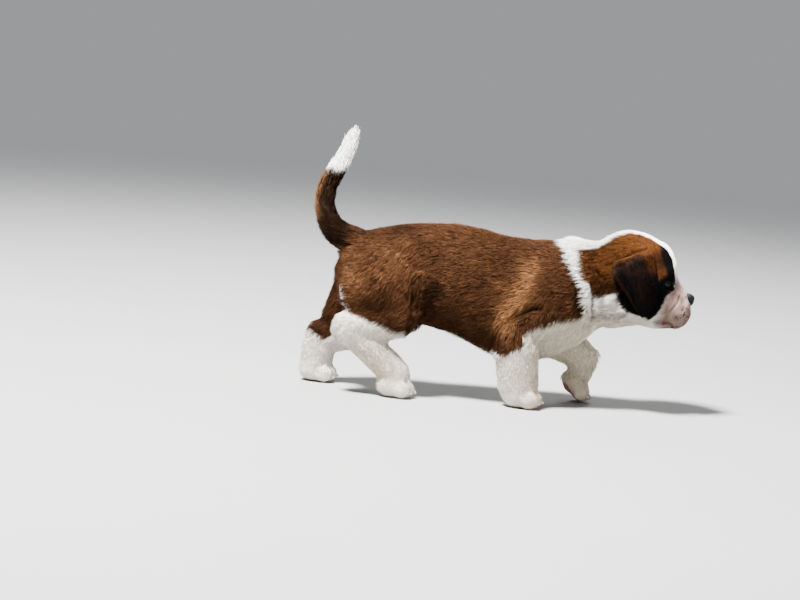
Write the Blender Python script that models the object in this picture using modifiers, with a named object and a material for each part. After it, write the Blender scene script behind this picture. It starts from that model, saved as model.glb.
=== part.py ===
"""Saint Bernard puppy in mid step: a still, life-size model, parted where its anatomy has names.

Metres, +Z up. The puppy faces +X with its right side at -Y, and stands on the floor, Z = 0, with the
origin under the middle of its bounding box. Lengths and places below are in millimetres, to the tips of
the coat. The flesh is modelled whole, from a lofted core and rounded masses, and parted by thin cuts.
"""

import math

import bmesh
import bpy
import numpy as np
from mathutils import Matrix, Vector

MM = 0.001
GAP = 0.3  # between neighbouring pieces

# Fineness of the whole body before it is parted
VOXEL = 2.5
SMOOTHING = 12
BODY_TRIANGLES = 2760
MASS_FINENESS = 4
CORE_RINGS = 60
CORE_SIDES = 40

# Core from rump to muzzle: x, back line, belly line, half width, how much wider it is below than above
CORE = (
    (-232, 176, 142, 12, 0.0),
    (-221, 199, 120, 34, 0.0),
    (-199, 221, 104, 45, 0.0),
    (-172, 230.5, 98, 51, 0.0),
    (-140, 238, 96, 54, 0.0),
    (-105, 242, 97, 56, 0.0),
    (-65, 244, 88, 58, 0.05),
    (-30, 240.5, 74, 60, 0.08),
    (0, 234, 62, 60, 0.08),
    (40, 231.5, 60, 58, 0.05),
    (72, 233, 64, 54, 0.0),
    (98, 239, 76, 49, 0.0),
    (122, 237, 92, 45, 0.0),
    (142, 240, 110, 43, 0.0),
    (162, 251, 115, 44, 0.0),
    (180, 254.5, 118, 46, 0.0),
    (198, 251.5, 120.5, 46, 0.0),
    (214, 244.5, 118, 43, 0.05),
    (228, 238, 118.5, 37, 0.1),
    (238, 226, 120, 32, 0.2),
    (244, 204, 121, 29, 0.3),
    (250.5, 187, 121.5, 27, 0.3),
    (258, 179, 125, 25, 0.3),
    (264, 173, 131, 20, 0.2),
    (268, 165, 141, 12, 0.1),
)

# Tail centre line from the croup to the tip: x, z, radius
TAIL = (
    (-176, 198, 27),
    (-205, 206, 23),
    (-227, 215, 20.5),
    (-242, 229, 18),
    (-252, 252, 16),
    (-252, 276, 15.5),
    (-245, 295, 15),
    (-236, 311, 14),
    (-228, 329, 12.5),
    (-223, 346, 11),
    (-218.5, 361, 8.5),
    (-216, 370, 3),
)
TAIL_FLATNESS = 0.85  # its width against its depth
TAIL_RINGS = 30
TAIL_SIDES = 20

# Paired masses of head and trunk: centre, radii, pitch in degrees (nose end down is positive)
PAIRED_MASSES = (
    ((192, 25, 164), (38, 25, 40), 0),  # cheek
    ((221, 22, 199), (17, 14, 13), 0),  # brow
    ((246, 14, 143), (20, 14, 22), 0),  # flew
    ((256, 9, 150), (12, 13, 19), 0),  # front of the muzzle
    ((44, 32, 156), (42, 25, 50), -22),  # shoulder blade
    ((-158, 34, 150), (68, 28, 62), 0),  # thigh
)

# Legs: each bone is start, start radius, end, end radius. The right legs are at -Y.
LIMB_FLATNESS = 0.84  # a leg's width against its depth
NEAR_FORE = (
    ((64, -37, 128), 28, (22, -44, 102), 28),
    ((25, -47, 92), 31.5, (30, -47, 66), 31),
    ((30, -47, 66), 31, (34, -46, 34), 29.5),
)
FAR_FORE = (
    ((64, 37, 130), 28, (78, 42, 106), 28),
    ((84, 43, 92), 33, (128, 42, 68), 23),
    ((128, 42, 62), 22, (124, 41, 36), 17.5),
)
NEAR_HIND = (
    ((-126, -37, 118), 28, (-150, -40, 108), 28),
    ((-140, -43, 106), 26, (-205, -43, 91), 25.5),
    ((-193, -43, 84), 24.5, (-136, -44, 32), 21.5),
)
FAR_HIND = (
    ((-191, 36, 136), 44, (-214, 41, 98), 33),
    ((-174, 41, 86), 34, (-243, 42, 66), 26),
    ((-243, 42, 66), 26, (-248, 42, 44), 25),
    ((-248, 42, 46), 25, (-250, 42, 24), 23.5),
)

# Paws: tips of the middle toes on the floor, length, width, height, heel lift in degrees
PAWS = {
    "foreleg_right": ((70, -46, 0), 58, 52, 32, 0),
    "foreleg_left": ((131, 41, -6.5), 54, 48, 32, 44),
    "hindleg_right": ((-107, -44, 0), 56, 46, 30, 0),
    "hindleg_left": ((-218, 42, 0), 56, 46, 30, 0),
}
TOES = ((-0.36, -0.10), (-0.13, 0.0), (0.13, 0.0), (0.36, -0.10))  # across and ahead, of width and length
CLAW_LENGTH = 9
CLAW_RADIUS = 2.1
CLAW_RINGS = 3
CLAW_SIDES = 6
CLAW_BEND = math.radians(60)
CLAW_FLATNESS = 0.8
CLAW_LIFT_SHARE = 0.8  # how much of the heel's lift the claws don't follow

NOSE = ((262.5, 0, 163), (11, 13.5, 10.5))
EYE_SPOT = (229, 33, 186.5)  # about the middle of the cornea
EYE_GAZE = Vector((0.52, 0.85, 0.06)).normalized()
EYE_RADIUS = 8.5
EYE_PROUD = 1.0  # how far it stands out of the socket's rim

# Ear, from its root in the skull over the fold to the tip: rear x and z, front x and z, distance out
EAR = (
    (160, 203, 193, 213, 33),
    (154, 212, 199, 230, 41),
    (149, 207, 206, 227, 46.5),
    (148, 198, 211, 208, 50),
    (155, 188, 215, 190, 52),
    (166, 176, 216.5, 172, 53),
    (178, 160, 213, 155, 53),
    (191, 144, 204, 143, 51),
)
EAR_THICKNESS = 4.4
EAR_ROWS = 8
EAR_COLUMNS = 4
EAR_CROWN = 3.5  # how far its middle stands out beyond its edges
EAR_LEAN = 5  # how much closer to the face its front edge lies

WHITE = (0.80, 0.77, 0.72)
BROWN = (0.20, 0.075, 0.028)
DARK = (0.045, 0.022, 0.014)
PINK_WHITE = (0.72, 0.52, 0.46)
BLACK = (0.012, 0.011, 0.012)
HORN = (0.42, 0.33, 0.27)
COAT_ROUGHNESS = 0.85


def clear_scene():
    for thing in list(bpy.data.objects):
        bpy.data.objects.remove(thing, do_unlink=True)


def collection(name):
    made = bpy.data.collections.new(name)
    bpy.context.scene.collection.children.link(made)
    return made


def object_from(name, bm, group):
    """A new object of a bmesh given in millimetres."""
    bmesh.ops.scale(bm, vec=(MM, MM, MM), verts=bm.verts)
    mesh = bpy.data.meshes.new(name)
    bm.to_mesh(mesh)
    bm.free()
    made = bpy.data.objects.new(name, mesh)
    group.objects.link(made)
    return made


def evaluated(thing, name):
    """The object's mesh with its modifiers applied."""
    graph = bpy.context.evaluated_depsgraph_get()
    mesh = bpy.data.meshes.new_from_object(thing.evaluated_get(graph))
    mesh.name = name
    return mesh


def apply_modifiers(thing):
    mesh = evaluated(thing, thing.name)
    thing.modifiers.clear()
    thing.data = mesh


def remove(*things):
    for thing in things:
        bpy.data.objects.remove(thing, do_unlink=True)


def spline(rows, count):
    """Catmull-Rom values through the rows at evenly spaced parameters."""
    rows = np.array(rows, float)
    ends = np.vstack([2 * rows[0] - rows[1], rows, 2 * rows[-1] - rows[-2]])
    values = []
    for at in np.linspace(0, len(rows) - 1, count):
        i = min(int(at), len(rows) - 2)
        t = at - i
        a, b, c, d = ends[i : i + 4]
        values.append(
            0.5 * (2 * b + (c - a) * t + (2 * a - 5 * b + 4 * c - d) * t**2 + (3 * b - a - 3 * c + d) * t**3)
        )
    return np.array(values)


def skin_rings(bm, rings):
    """Side faces between rings of points, and a fan over each end."""
    loops = [[bm.verts.new(p) for p in ring] for ring in rings]
    sides = len(loops[0])
    for below, above in zip(loops, loops[1:]):
        for i in range(sides):
            j = (i + 1) % sides
            bm.faces.new((below[i], below[j], above[j], above[i]))
    for loop, rings_end in ((loops[0], rings[0]), (loops[-1], rings[-1])):
        tip = bm.verts.new(np.mean(rings_end, axis=0))
        for i in range(sides):
            bm.faces.new((loop[i], loop[(i + 1) % sides], tip))
    bmesh.ops.recalc_face_normals(bm, faces=bm.faces)


def core_mass():
    """The lofted core: upright egg-shaped sections from the rump to the front of the muzzle."""
    around = np.linspace(0, 2 * math.pi, CORE_SIDES, endpoint=False)
    rings = []
    for x, top, bottom, half_width, spread in spline(CORE, CORE_RINGS):
        middle = (top + bottom) / 2
        half_height = (top - bottom) / 2
        y = half_width * np.cos(around) * (1 - spread * np.sin(around))
        z = middle + half_height * np.sin(around)
        rings.append(np.column_stack([np.full(CORE_SIDES, x), y, z]))
    bm = bmesh.new()
    skin_rings(bm, rings)
    return bm


def tail_mass():
    """The tail: oval sections square to its centre line."""
    line = spline(TAIL, TAIL_RINGS)
    along = np.gradient(line[:, :2], axis=0)
    along /= np.linalg.norm(along, axis=1)[:, None]
    around = np.linspace(0, 2 * math.pi, TAIL_SIDES, endpoint=False)
    rings = []
    for (x, z, radius), (dx, dz) in zip(line, along):
        across = radius * np.cos(around)
        rings.append(
            np.column_stack([x + dz * across, TAIL_FLATNESS * radius * np.sin(around), z - dx * across])
        )
    bm = bmesh.new()
    skin_rings(bm, rings)
    return bm


def add_ball(bm, centre, radii, pitch=0.0, fineness=2):
    """An ellipsoid; a positive pitch turns its front down."""
    place = Matrix.Translation(centre) @ Matrix.Rotation(math.radians(pitch), 4, "Y")
    stretch = Matrix.Diagonal((*radii, 1))
    return bmesh.ops.create_icosphere(bm, subdivisions=fineness, radius=1, matrix=place @ stretch)["verts"]


def ball(centre, radii, pitch=0.0, fineness=2):
    bm = bmesh.new()
    add_ball(bm, centre, radii, pitch, fineness)
    return bm


def hull(balls, fineness=2):
    """The convex hull of some ellipsoids, each a centre and its radii."""
    cloud = bmesh.new()
    for centre, radii in balls:
        add_ball(cloud, centre, radii, fineness=fineness)
    bm = bmesh.new()
    for vert in cloud.verts:
        bm.verts.new(vert.co)
    cloud.free()
    bmesh.ops.convex_hull(bm, input=bm.verts)
    inner = [v for v in bm.verts if not v.link_faces]
    bmesh.ops.delete(bm, geom=inner, context="VERTS")
    bmesh.ops.recalc_face_normals(bm, faces=bm.faces)
    return bm


def bone_mass(start, start_radius, end, end_radius):
    """A tapered length of leg, narrower across than it is deep."""

    def radii(r):
        return (r, r * LIMB_FLATNESS, r)

    return hull(((start, radii(start_radius)), (end, radii(end_radius))), MASS_FINENESS)


def paw_frame(paw):
    """A paw's own axes: x ahead, y across and z up, from the tips of its toes."""
    tips, lift = paw[0], paw[4]
    return Matrix.Translation(tips) @ Matrix.Rotation(math.radians(lift), 4, "Y")


def toe_places(paw):
    """The middle of each toe in the paw's own axes, with the toe's radii."""
    length, width, height = paw[1:4]
    radii = (length * 0.24, width * 0.165, height * 0.40)
    middles = [Vector((length * (ahead - 0.24), width * across, radii[2] * 0.92)) for across, ahead in TOES]
    return [(middle, radii) for middle in middles]


def paw_masses(paw):
    """A paw: its rounded back and four toes."""
    length, width, height = paw[1:4]
    back = (-length * 0.60, 0, height / 2), (length * 0.42, width * 0.46, height * 0.58)
    masses = [ball(*back, fineness=MASS_FINENESS)]
    masses += [ball(centre, radii, fineness=MASS_FINENESS) for centre, radii in toe_places(paw)]
    for mass in masses:
        mass.transform(paw_frame(paw))
    return masses


def whole_body(group):
    """One closed mesh of the flesh: masses joined, blended and thinned, with flat soles."""
    masses = [core_mass(), tail_mass()]
    for (x, y, z), radii, pitch in PAIRED_MASSES:
        masses += [ball((x, side * y, z), radii, pitch, MASS_FINENESS) for side in (-1, 1)]
    for leg in (NEAR_FORE, FAR_FORE, NEAR_HIND, FAR_HIND):
        masses += [bone_mass(*bone) for bone in leg]
    for paw in PAWS.values():
        masses += paw_masses(paw)

    joined = bmesh.new()
    for mass in masses:
        mesh = bpy.data.meshes.new("mass")
        mass.to_mesh(mesh)
        mass.free()
        joined.from_mesh(mesh)
        bpy.data.meshes.remove(mesh)
    body = object_from("body", joined, group)

    remesh = body.modifiers.new("blend", "REMESH")
    remesh.mode = "VOXEL"
    remesh.voxel_size = VOXEL * MM
    smooth = body.modifiers.new("smooth", "SMOOTH")
    smooth.factor = 0.5
    smooth.iterations = SMOOTHING
    apply_modifiers(body)
    thin = body.modifiers.new("thin", "DECIMATE")
    thin.ratio = BODY_TRIANGLES / (2 * len(body.data.polygons))
    apply_modifiers(body)

    below_floor = slab((0, 0, 0), (0, 0, -1), 300, 700, 40)
    floor = object_from("floor", below_floor(0), group)
    body = boolean(body, floor, "DIFFERENCE", "body", group)
    return body


def boolean(thing, cutter, operation, name, group):
    """A new object: thing cut by cutter, which is used up. thing is used up where name is its own."""
    cut = thing.modifiers.new("cut", "BOOLEAN")
    cut.operation = operation
    cut.solver = "EXACT"
    cut.object = cutter
    mesh = evaluated(thing, name)
    thing.modifiers.clear()
    remove(cutter)
    made = bpy.data.objects.new(name, mesh)
    if thing.name == name:
        remove(thing)
    made.name = name
    group.objects.link(made)
    drop_crumbs(made)
    return made


def drop_crumbs(thing):
    """Leaves only the largest of the loose parts that a cut makes."""
    bm = bmesh.new()
    bm.from_mesh(thing.data)
    seen = set()
    islands = []
    for first in bm.verts:
        if first in seen:
            continue
        island, waiting = [], [first]
        seen.add(first)
        while waiting:
            vert = waiting.pop()
            island.append(vert)
            for edge in vert.link_edges:
                other = edge.other_vert(vert)
                if other not in seen:
                    seen.add(other)
                    waiting.append(other)
        islands.append(island)
    largest = max(islands, key=box_volume)
    crumbs = [v for island in islands if island is not largest for v in island]
    bmesh.ops.delete(bm, geom=crumbs, context="VERTS")
    bm.to_mesh(thing.data)
    bm.free()


def box_volume(verts):
    """The volume of the box round some vertices."""
    places = np.array([vert.co for vert in verts])
    return np.prod(np.ptp(places, axis=0))


def slab(point, normal, width, height, depth):
    """A cell: a box on the plane at point, reaching depth along normal, height upright and width across."""

    def grown(by):
        bm = bmesh.new()
        ahead = Vector(normal).normalized()
        across = Vector((0, 1, 0))
        upright = ahead.cross(across)
        turn = Matrix((upright, across, ahead)).transposed().to_4x4()
        middle = Vector(point) + ahead * depth / 2
        size = Matrix.Diagonal((height + 2 * by, width + 2 * by, depth + 2 * by, 1))
        bmesh.ops.create_cube(bm, size=1, matrix=Matrix.Translation(middle) @ turn @ size)
        bmesh.ops.recalc_face_normals(bm, faces=bm.faces)
        return bm

    return grown


def egg(centre, radii, pitch=0.0):
    """A cell: an ellipsoid."""

    def grown(by):
        return ball(centre, [r + by for r in radii], pitch)

    return grown


def capsule(*balls):
    """A cell: the hull of some ellipsoids."""

    def grown(by):
        return hull([(centre, [r + by for r in radii]) for centre, radii in balls])

    return grown


# Where the flesh is parted, in order: each cell takes its piece from what the ones before it left
CELLS = (
    ("foreleg_right_paw", slab((36, -46, 33), (0.05, 0, -1), 76, 96, 50)),
    ("foreleg_left_paw", slab((117, 42, 33), (-0.2, 0, -1), 70, 80, 60)),
    ("hindleg_right_paw", slab((-151, -44, 41), (0.74, 0, -0.67), 72, 84, 90)),
    ("hindleg_left_paw", slab((-250, 42, 28), (0, 0, -1), 72, 96, 50)),
    ("foreleg_right_forearm", capsule(((29, -50, 72), (42, 34, 27)), ((34, -47, 24), (42, 34, 27)))),
    ("foreleg_left_forearm", capsule(((84, 52, 88), (34, 36, 34)), ((128, 46, 52), (34, 36, 30)))),
    ("hindleg_right_pastern", slab((-188, -44, 75), (0.74, 0, -0.67), 72, 50, 70)),
    ("hindleg_left_pastern", slab((-246, 42, 56), (-0.1, 0, -1), 72, 76, 60)),
    ("hindleg_right_gaskin", slab((-165, -52, 104), (-0.17, 0, -0.985), 84, 160, 80)),
    ("hindleg_left_gaskin", slab((-205, 50, 98), (-0.2, 0, -0.98), 84, 150, 80)),
    ("tail_tip", slab((-238, 0, 312), (0.45, 0, 0.89), 60, 60, 90)),
    ("tail_middle", slab((-252, 0, 250), (0.0, 0, 1), 60, 60, 90)),
    ("tail_base", slab((-211, 0, 211), (-0.87, 0, 0.49), 60, 60, 90)),
    ("hindleg_right_thigh", egg((-158, -62, 150), (70, 42, 66))),
    ("hindleg_left_thigh", egg((-172, 62, 141), (76, 44, 76))),
    ("foreleg_right_shoulder", egg((42, -64, 146), (48, 38, 70), -12)),
    ("foreleg_left_shoulder", egg((52, 64, 146), (48, 38, 70), -12)),
    ("lower_jaw", egg((232, 0, 120), (32, 17, 11), -4)),
    ("muzzle", slab((237, 0, 160), (0.976, 0, -0.217), 120, 160, 80)),
    ("head", slab((147, 0, 178), (0.988, 0, 0.154), 160, 240, 150)),
    ("neck", slab((106, 0, 170), (0.959, 0, 0.282), 160, 240, 90)),
)


def claw_mesh(paw, toe):
    """A claw: a tapered horn that comes out of the toe and bends down. Under a lifted heel it turns up."""
    middle, (long, wide, high) = toe
    x, y, z = middle
    around = np.linspace(0, 2 * math.pi, CLAW_SIDES, endpoint=False)
    rings = []
    for step in range(CLAW_RINGS):
        share = step / CLAW_RINGS
        bend = CLAW_BEND * share
        ahead = x + long * 0.72 + CLAW_LENGTH * share * math.cos(bend / 2)
        down = z - high * 0.1 - CLAW_LENGTH * share * math.sin(bend / 2)
        radius = CLAW_RADIUS * (1 - share) ** 0.6
        tilt = radius * np.sin(around)
        aside = y + CLAW_FLATNESS * radius * np.cos(around)
        rings.append(np.column_stack([ahead + tilt * math.sin(bend), aside, down + tilt * math.cos(bend)]))
    bm = bmesh.new()
    skin_rings(bm, rings)
    turn = Matrix.Rotation(math.radians(-paw[4] * CLAW_LIFT_SHARE), 4, "Y")
    bm.transform(paw_frame(paw) @ Matrix.Translation(middle) @ turn @ Matrix.Translation(-middle))
    return bm


def fattened(thing, by, name, group):
    """A copy of an object with its surface moved outwards."""
    made = bpy.data.objects.new(name, thing.data.copy())
    group.objects.link(made)
    puff = made.modifiers.new("puff", "DISPLACE")
    puff.strength = by * MM
    puff.mid_level = 0
    apply_modifiers(made)
    return made


def ear(side, name, group):
    """An ear: a crowned flap that leaves the skull, folds over and hangs down, thickened into leather."""
    rows = spline(EAR, EAR_ROWS)
    bm = bmesh.new()
    grid = []
    for rear_x, rear_z, front_x, front_z, out in rows:
        row = []
        for column in range(EAR_COLUMNS):
            share = column / (EAR_COLUMNS - 1)
            crown = EAR_CROWN * math.sin(math.pi * share) - EAR_LEAN * share**2
            point = (
                rear_x + (front_x - rear_x) * share,
                side * (out + crown - EAR_CROWN),
                rear_z + (front_z - rear_z) * share,
            )
            row.append(bm.verts.new(point))
        grid.append(row)
    for above, below in zip(grid, grid[1:]):
        for i in range(EAR_COLUMNS - 1):
            bm.faces.new((above[i], above[i + 1], below[i + 1], below[i]))
    bmesh.ops.recalc_face_normals(bm, faces=bm.faces)
    made = object_from(name, bm, group)
    round_off = made.modifiers.new("round", "SUBSURF")
    round_off.levels = round_off.render_levels = 1
    leather = made.modifiers.new("leather", "SOLIDIFY")
    leather.thickness = EAR_THICKNESS * MM
    leather.offset = 0
    apply_modifiers(made)
    return made


def material(name, colour, roughness=COAT_ROUGHNESS):
    made = bpy.data.materials.new(name)
    made.use_nodes = True
    shader = made.node_tree.nodes["Principled BSDF"]
    shader.inputs["Base Color"].default_value = (*colour, 1)
    shader.inputs["Roughness"].default_value = roughness
    shader.inputs["Metallic"].default_value = 0
    return made


def paint(thing, colour, roughness=COAT_ROUGHNESS, smooth_angle=50):
    thing.data.materials.clear()
    thing.data.materials.append(material(thing.name, colour, roughness))
    thing.data.shade_smooth()
    thing.data.set_sharp_from_angle(angle=math.radians(smooth_angle))


def flesh_colour(name):
    if name in ("muzzle", "lower_jaw"):
        return PINK_WHITE
    if name.startswith("tail"):
        return WHITE if name == "tail_tip" else DARK
    if name == "neck" or name.endswith(("paw", "forearm", "pastern", "gaskin")):
        return WHITE
    return BROWN


def part_flesh(body, group):
    """Cuts the body cell by cell; what is left is the trunk."""
    pieces = {}
    for name, cell in CELLS:
        inside = object_from("cell", cell(0), group)
        pieces[name] = boolean(body, inside, "INTERSECT", name, group)
        outside = object_from("cell", cell(GAP), group)
        body = boolean(body, outside, "DIFFERENCE", "body", group)
    body.name = "trunk"
    pieces["trunk"] = body
    return pieces


def set_in(pieces, host, name, centre, radii, group):
    """An ellipsoid piece set in its socket in the host."""
    socket = object_from("socket", ball(centre, [r + GAP for r in radii]), group)
    pieces[host] = boolean(pieces[host], socket, "DIFFERENCE", host, group)
    pieces[name] = object_from(name, ball(centre, radii), group)


def eye_centre(body, side):
    """The eye's middle: straight in from its spot on the face, by all of its radius but what stands proud."""
    gaze = Vector((EYE_GAZE.x, side * EYE_GAZE.y, EYE_GAZE.z))
    start = Vector((EYE_SPOT[0], side * EYE_SPOT[1], EYE_SPOT[2])) + gaze * 100
    found, spot, _normal, _face = body.ray_cast(start * MM, -gaze)
    return spot / MM - gaze * (EYE_RADIUS - EYE_PROUD)


def set_claws(pieces, group):
    """Four claws in each paw, each in its own socket."""
    for limb, paw in PAWS.items():
        host = f"{limb}_paw"
        for number, toe in enumerate(toe_places(paw), 1):
            name = f"{limb}_claw_{number}"
            pieces[name] = object_from(name, claw_mesh(paw, toe), group)
            socket = fattened(pieces[name], GAP, "socket", group)
            pieces[host] = boolean(pieces[host], socket, "DIFFERENCE", host, group)


def set_ears(pieces, body_copy, group):
    """Both ears, trimmed where their roots meet the skull."""
    for side, name in ((-1, "ear_right"), (1, "ear_left")):
        flap = ear(side, name, group)
        skull = fattened(body_copy, GAP, "skull", group)
        pieces[name] = boolean(flap, skull, "DIFFERENCE", name, group)


def main():
    clear_scene()
    puppy = collection("saint_bernard_puppy")
    body = whole_body(puppy)
    body_copy = bpy.data.objects.new("body_copy", body.data.copy())
    puppy.objects.link(body_copy)
    bpy.context.view_layer.update()

    pieces = part_flesh(body, puppy)
    for side, word in ((-1, "right"), (1, "left")):
        centre = eye_centre(body_copy, side)
        set_in(pieces, "head", f"eye_{word}", centre, (EYE_RADIUS,) * 3, puppy)
    set_in(pieces, "muzzle", "nose", *NOSE, puppy)
    set_claws(pieces, puppy)
    set_ears(pieces, body_copy, puppy)
    remove(body_copy)

    for name, piece in pieces.items():
        if name == "nose" or name.startswith("eye"):
            paint(piece, BLACK, 0.3)
        elif "claw" in name:
            paint(piece, HORN, 0.5)
        elif name.startswith("ear"):
            paint(piece, DARK)
        else:
            paint(piece, flesh_colour(name))


main()
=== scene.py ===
"""Looks of the Saint Bernard puppy: one skin, a coat of tufts, eyes, nose and claws around the CAD frame.

The frame is in metres. Places and lengths below are in millimetres, and are scaled where meshes are made.
The puppy faces +X with its right side at -Y.
"""

import itertools
import math

import bmesh
import bpy
import numpy as np
from mathutils import Matrix, Vector
from mathutils.bvhtree import BVHTree
from mathutils.kdtree import KDTree


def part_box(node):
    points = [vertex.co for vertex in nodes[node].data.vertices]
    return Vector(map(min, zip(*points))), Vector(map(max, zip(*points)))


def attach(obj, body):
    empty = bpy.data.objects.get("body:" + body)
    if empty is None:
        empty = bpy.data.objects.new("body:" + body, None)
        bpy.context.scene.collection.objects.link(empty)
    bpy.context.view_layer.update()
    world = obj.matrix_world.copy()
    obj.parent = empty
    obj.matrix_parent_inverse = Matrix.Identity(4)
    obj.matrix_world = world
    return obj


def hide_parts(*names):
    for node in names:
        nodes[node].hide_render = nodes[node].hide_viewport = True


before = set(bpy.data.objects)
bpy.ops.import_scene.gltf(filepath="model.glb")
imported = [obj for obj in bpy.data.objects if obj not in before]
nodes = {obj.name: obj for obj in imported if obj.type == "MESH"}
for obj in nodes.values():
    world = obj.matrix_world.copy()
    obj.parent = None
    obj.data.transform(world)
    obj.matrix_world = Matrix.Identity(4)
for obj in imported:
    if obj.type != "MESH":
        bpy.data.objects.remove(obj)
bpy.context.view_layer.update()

MM = 0.001
MERGE = 1e-5  # metres between points that become one
COAT_SEED = 7
FRECKLE_SEED = 21
rng = np.random.default_rng(COAT_SEED)

# Skin
VOXEL = 1.95
GROWTH = 0.45  # closes the gaps between the solids
SMOOTH_ALL = 12  # steps over the whole skin
SMOOTH_BODY = 60  # steps over all but the paws
PAW_TOP = (26, 42)  # heights over which the body's steps fade in
SMOOTH_AFTER = 4  # steps once the coat's depth is off, and again on the finer head
BLEND_STEPS = 30  # steps that blend the coat over the borders of the nodes
FINE_FROM = 186  # the skin is finer from this x on
FINE_SMOOTH_FROM = 180  # and is smoothed again from here
FINEST_FROM = 240  # it is finer still on the muzzle, below a height
FINEST_BELOW = 176
FINEST_ROUND_EYE = 15

# How the coat is on each kind of node: depth, tuft length, tuft width, skin area for each tuft (mm, mm2)
COAT = {
    "trunk": (5.2, 13.0, 0.58, 2.5),
    "neck": (5.6, 15.0, 0.58, 2.1),
    "head": (1.9, 6.2, 0.56, 0.70),
    "muzzle": (0.9, 2.4, 0.25, 0.70),
    "lower_jaw": (1.0, 3.0, 0.28, 0.75),
    "tail": (4.2, 13.0, 0.54, 1.75),
    "shoulder": (5.0, 12.5, 0.57, 2.4),
    "thigh": (5.0, 12.5, 0.57, 2.4),
    "forearm": (3.2, 8.5, 0.48, 1.85),
    "gaskin": (3.6, 9.5, 0.50, 1.95),
    "pastern": (2.8, 7.5, 0.46, 1.7),
    "paw": (1.7, 4.4, 0.36, 1.05),
    "ear": (1.0, 6.5, 0.64, 0.72),
}
HAIRLESS_AREA = 1e9  # no tuft grows where each would have this much skin
FLESH = [n for n in nodes if not any(word in n for word in ("claw", "eye", "nose", "ear_"))]
EYES = ("eye_right", "eye_left")
EARS = ("ear_right", "ear_left")
LIMBS = ("foreleg_right", "foreleg_left", "hindleg_right", "hindleg_left")


def claw_names(limb):
    return [f"{limb}_claw_{k}" for k in range(1, 5)]


def kind_of(node):
    """The key of COAT that a CAD node goes by."""
    if node in COAT:
        return node
    last = node.split("_")[-1]
    return last if last in COAT else node.split("_")[0]


def norm(v):
    return np.linalg.norm(v, axis=-1)


def unit(v):
    return np.asarray(v, float) / np.maximum(np.linalg.norm(v, axis=-1, keepdims=True), 1e-9)


def along_skin(way, normals):
    """Ways laid flat on the skin."""
    return unit(way - normals * np.sum(way * normals, axis=1, keepdims=True))


def step(low, high, value):
    """0 on low's side, 1 on high's, smooth between."""
    t = np.clip((value - low) / (high - low), 0, 1)
    return t * t * (3 - 2 * t)


def bell(distance, reach):
    """1 where the distance is 0, fading over reach."""
    return np.exp(-((distance / reach) ** 2))


def mix(a, b, share):
    """a where share is 0 and b where it is 1; colours and vectors have one share for their three numbers."""
    a, b, share = np.asarray(a, float), np.asarray(b, float), np.asarray(share, float)
    if share.ndim and 3 in (a.shape[-1:] + b.shape[-1:]):
        share = share[..., None]
    return a * (1 - share) + b * share


def layered(colour, *layers):
    """A colour with others over it, each with its share."""
    for over, share in layers:
        colour = mix(colour, over, share)
    return colour


def hashed(cell, seed):
    """A number from 0 to 1 for each cell of a lattice."""
    n = cell[:, 0] * 73856093 ^ cell[:, 1] * 19349663 ^ cell[:, 2] * 83492791 ^ (seed * 961748927)
    n = (n ^ (n >> 13)) * 1274126177
    n = (n ^ (n >> 16)) & 0xFFFFFF
    return n / 0xFFFFFF


def noise(points, size, seed=0):
    """Smooth noise from -1 to 1 with patches of about the given size."""
    place = points / size
    base = np.floor(place).astype(np.int64)
    f = place - base
    f = f * f * (3 - 2 * f)
    total = np.zeros(len(points))
    for corner in itertools.product((0, 1), repeat=3):
        weight = np.prod(np.where(np.array(corner) == 1, f, 1 - f), axis=1)
        total += weight * hashed(base + np.array(corner), seed)
    return total * 2 - 1


def mirrored(points):
    """The same points with the right side's on the left."""
    return np.column_stack([points[:, 0], np.abs(points[:, 1]), points[:, 2]])


def near(points, place, reach):
    """1 at a place, with its y to the side, and fading over reach."""
    return bell(norm(mirrored(points) - place), reach)


def segment_distance(points, a, b):
    """Distance of each point to the segment a-b."""
    a, b = np.array(a, float), np.array(b, float)
    t = np.clip((points - a) @ (b - a) / max((b - a) @ (b - a), 1e-9), 0, 1)
    return norm(points - a - t[:, None] * (b - a))


def line_distance(points, line):
    return np.min([segment_distance(points, a, b) for a, b in zip(line, line[1:])], axis=0)


def inside(x, z, outline):
    """How far inside a closed outline each place is, in mm; negative outside."""
    place = np.column_stack([x, z])
    within = np.zeros(len(x), bool)
    away = np.full(len(x), np.inf)
    for a, b in zip(outline, outline[1:] + outline[:1]):
        away = np.minimum(away, segment_distance(place, a, b))
        crosses = (a[1] > z) != (b[1] > z)
        within ^= crosses & (x < (b[0] - a[0]) * (z - a[1]) / ((b[1] - a[1]) or 1e-9) + a[0])
    return np.where(within, away, -away)


def curve(rows, value):
    """The second column of rows at value of the first, which rises."""
    rows = np.array(rows, float)
    return np.interp(value, rows[:, 0], rows[:, 1])


def spline(rows, count):
    """Catmull-Rom values through the rows at evenly spaced parameters."""
    rows = np.array(rows, float)
    ends = np.vstack([2 * rows[0] - rows[1], rows, 2 * rows[-1] - rows[-2]])
    at = np.linspace(0, len(rows) - 1, count)
    i = np.minimum(at.astype(int), len(rows) - 2)
    t = (at - i)[:, None]
    a, b, c, d = (ends[i + k] for k in range(4))
    return 0.5 * (2 * b + (c - a) * t + (2 * a - 5 * b + 4 * c - d) * t**2 + (3 * b - a - 3 * c + d) * t**3)


def add_object(name, data):
    made = bpy.data.objects.new(name, data)
    bpy.context.scene.collection.objects.link(made)
    return made


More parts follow.
